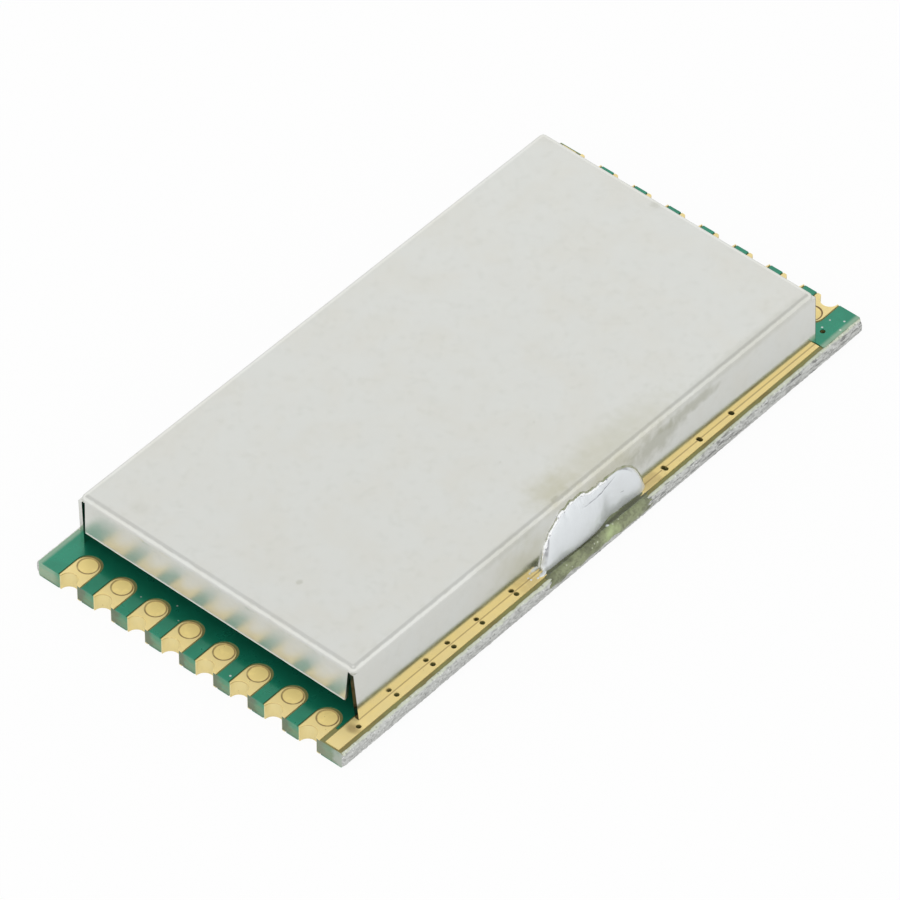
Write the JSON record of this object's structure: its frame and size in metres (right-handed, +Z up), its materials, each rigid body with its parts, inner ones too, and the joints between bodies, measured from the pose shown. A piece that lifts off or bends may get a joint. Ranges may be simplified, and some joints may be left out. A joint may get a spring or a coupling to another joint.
{
  "type": "long-range radio module",
  "caption": "Surface-mount radio module: a thin green board with half-round gold pads along both short edges, under a folded tin-plated shield can soldered to ground strips on its long sides.",
  "frame": {"origin": "middle of the underside, which is the face that is soldered down", "axes": "+X along the board from the front row of pads to the back row, +Y to the far long edge, +Z up through the shield can"},
  "size_m": [0.0356, 0.018, 0.0039],
  "materials": {
    "laminate": "woven glass laminate, cut edges rough",
    "solder_mask": "semi-gloss green lacquer",
    "gold_plating": "thin gold over copper, satin",
    "tinned_sheet": "tin-plated sheet, satin",
    "solder": "bright solidified solder",
    "tinned_copper": "tinned copper",
    "package_resin": "moulded black resin, matte",
    "chip_ceramic": "fired ceramic with tinned end caps",
    "coil_body": "grey ferrite body with tinned end caps",
    "resistor_body": "black glazed film with tinned end caps"
  },
  "bodies": {
    "root": {"board": "laminate", "solder_mask_top": "solder_mask", "solder_mask_bottom": "solder_mask", "castellated_pad_1": "gold_plating", "castellated_pad_2": "gold_plating", "castellated_pad_3": "gold_plating", "castellated_pad_4": "gold_plating", "castellated_pad_5": "gold_plating", "castellated_pad_6": "gold_plating", "castellated_pad_7": "gold_plating", "castellated_pad_8": "gold_plating", "castellated_pad_9": "gold_plating", "castellated_pad_10": "gold_plating", "castellated_pad_11": "gold_plating", "castellated_pad_12": "gold_plating", "castellated_pad_13": "gold_plating", "castellated_pad_14": "gold_plating", "castellated_pad_15": "gold_plating", "castellated_pad_16": "gold_plating", "ground_strip_near": "gold_plating", "ground_strip_far": "gold_plating", "shield_can": "tinned_sheet", "solder_joint_near": "solder", "solder_joint_far": "solder", "component_lands": "tinned_copper", "crystal": "tinned_sheet", "transceiver_chip": "package_resin", "power_amplifier": "package_resin", "antenna_switch": "package_resin", "voltage_regulator": "package_resin", "capacitor_1": "chip_ceramic", "capacitor_2": "chip_ceramic", "capacitor_3": "chip_ceramic", "capacitor_4": "chip_ceramic", "capacitor_5": "chip_ceramic", "capacitor_6": "chip_ceramic", "capacitor_7": "chip_ceramic", "capacitor_8": "chip_ceramic", "capacitor_9": "chip_ceramic", "capacitor_10": "chip_ceramic", "inductor_1": "coil_body", "inductor_2": "coil_body", "inductor_3": "coil_body", "inductor_4": "coil_body", "inductor_5": "coil_body", "inductor_6": "coil_body", "resistor_1": "resistor_body", "resistor_2": "resistor_body", "resistor_3": "resistor_body", "resistor_4": "resistor_body"}
  },
  "joints": []
}
